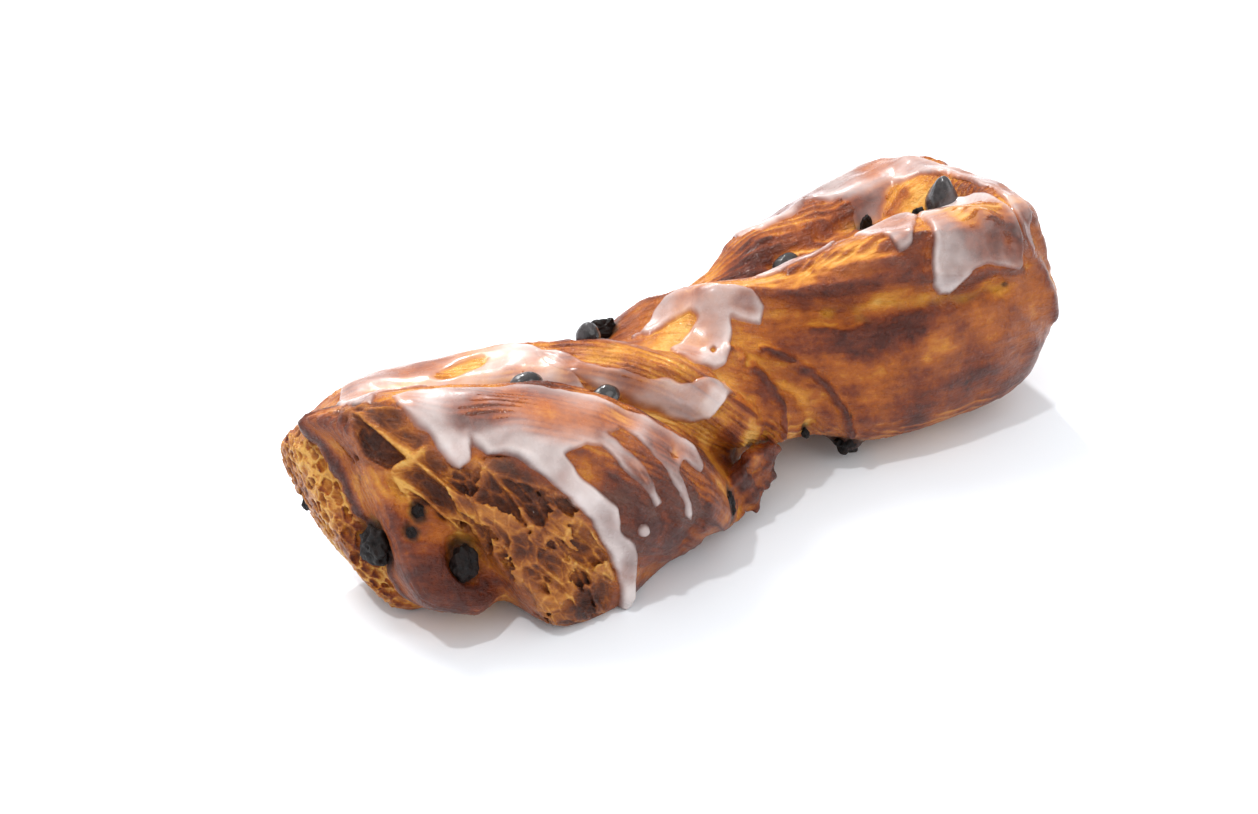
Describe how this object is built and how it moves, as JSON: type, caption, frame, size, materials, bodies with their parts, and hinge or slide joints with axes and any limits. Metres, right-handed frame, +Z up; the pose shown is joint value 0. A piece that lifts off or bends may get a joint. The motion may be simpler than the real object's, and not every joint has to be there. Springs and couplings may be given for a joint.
{
  "type": "chocolate twist pastry",
  "caption": "Hand-twisted laminated pastry with chocolate chips and a thin white icing drizzled over the top; it rests on its underside.",
  "frame": {"origin": "middle of the whole pastry's box, on the surface that it rests on", "axes": "+X along the pastry, from the end with the open cut layers to the wide rounded end; +Z up; -Y is the side that the icing drips down"},
  "size_m": [0.19, 0.075, 0.0575],
  "materials": {
    "baked_dough": "satin",
    "chocolate": "satin",
    "icing": "gloss"
  },
  "bodies": {
    "root": {"dough_twist": "baked_dough", "chocolate_chip_01": "chocolate", "chocolate_chip_02": "chocolate", "chocolate_chip_03": "chocolate", "chocolate_chip_04": "chocolate", "chocolate_chip_05": "chocolate", "chocolate_chip_06": "chocolate", "chocolate_chip_07": "chocolate", "chocolate_chip_08": "chocolate", "chocolate_chip_09": "chocolate", "chocolate_chip_10": "chocolate", "chocolate_chip_11": "chocolate", "chocolate_chip_12": "chocolate", "chocolate_chip_13": "chocolate", "chocolate_chip_14": "chocolate", "chocolate_chip_15": "chocolate", "chocolate_chip_16": "chocolate", "chocolate_chip_17": "chocolate", "icing_near_drape": "icing", "icing_near_crest": "icing", "icing_middle_ribbon": "icing", "icing_waist_pool": "icing", "icing_far_rim": "icing", "icing_lip_streak": "icing", "icing_lip_patch": "icing", "icing_far_pool": "icing"}
  },
  "joints": []
}
